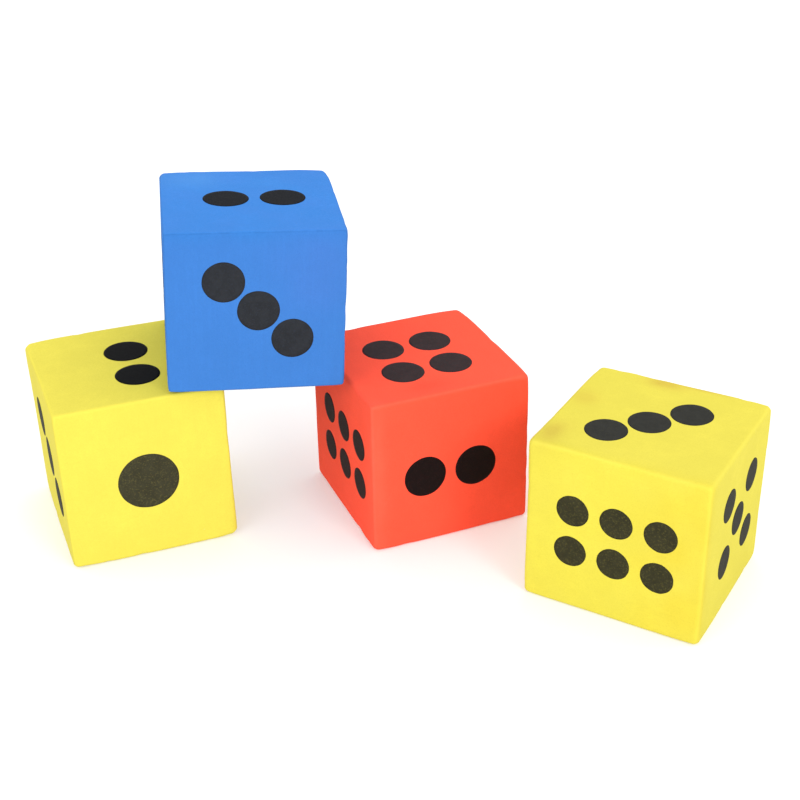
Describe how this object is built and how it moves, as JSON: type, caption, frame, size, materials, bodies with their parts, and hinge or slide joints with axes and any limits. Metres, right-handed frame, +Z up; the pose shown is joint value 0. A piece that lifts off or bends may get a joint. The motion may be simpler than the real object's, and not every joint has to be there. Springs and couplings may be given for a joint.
{
  "type": "giant yard dice",
  "caption": "Set of giant solid foam yard dice in blue, red and yellow with large printed pips, stacked with one leaning across two others.",
  "frame": {"origin": "centre of the set's bounding box, on the ground that the three lower dice stand on", "axes": "+Z up, +X along the row of dice from the left yellow die to the right yellow die, and the set's front faces -Y"},
  "size_m": [0.389, 0.1998, 0.1802],
  "materials": {
    "yellow_foam": "matt closed-cell EVA foam, sawn and lightly sanded",
    "red_foam": "matt closed-cell EVA foam, sawn and lightly sanded",
    "blue_foam": "matt closed-cell EVA foam, sawn and lightly sanded",
    "black_ink": "flat black screen-printed ink"
  },
  "bodies": {
    "yellow_left": {"yellow_left_block": "yellow_foam", "yellow_left_pips_1": "black_ink", "yellow_left_pips_2": "black_ink", "yellow_left_pips_3": "black_ink", "yellow_left_pips_4": "black_ink", "yellow_left_pips_5": "black_ink", "yellow_left_pips_6": "black_ink"},
    "red": {"red_block": "red_foam", "red_pips_1": "black_ink", "red_pips_2": "black_ink", "red_pips_3": "black_ink", "red_pips_4": "black_ink", "red_pips_5": "black_ink", "red_pips_6": "black_ink"},
    "yellow_right": {"yellow_right_block": "yellow_foam", "yellow_right_pips_1": "black_ink", "yellow_right_pips_2": "black_ink", "yellow_right_pips_3": "black_ink", "yellow_right_pips_4": "black_ink", "yellow_right_pips_5": "black_ink", "yellow_right_pips_6": "black_ink"},
    "blue": {"blue_block": "blue_foam", "blue_pips_1": "black_ink", "blue_pips_2": "black_ink", "blue_pips_3": "black_ink", "blue_pips_4": "black_ink", "blue_pips_5": "black_ink", "blue_pips_6": "black_ink"}
  },
  "joints": [
    {"name": "blue_lift", "type": "slide", "parent": "yellow_left", "child": "blue", "axis": [0, 0, 1], "range_m": [0, 0.15]},
    {"name": "red_slide", "type": "slide", "parent": "yellow_left", "child": "red", "axis": [0.9278, 0.373, 0], "range_m": [0, 0.12]},
    {"name": "yellow_right_roll", "type": "hinge", "parent": "yellow_left", "child": "yellow_right", "pos_m": [0.17089, -0.06126, 0.002], "axis": [0.5075, 0.8616, 0], "range_deg": [0, 90]}
  ]
}
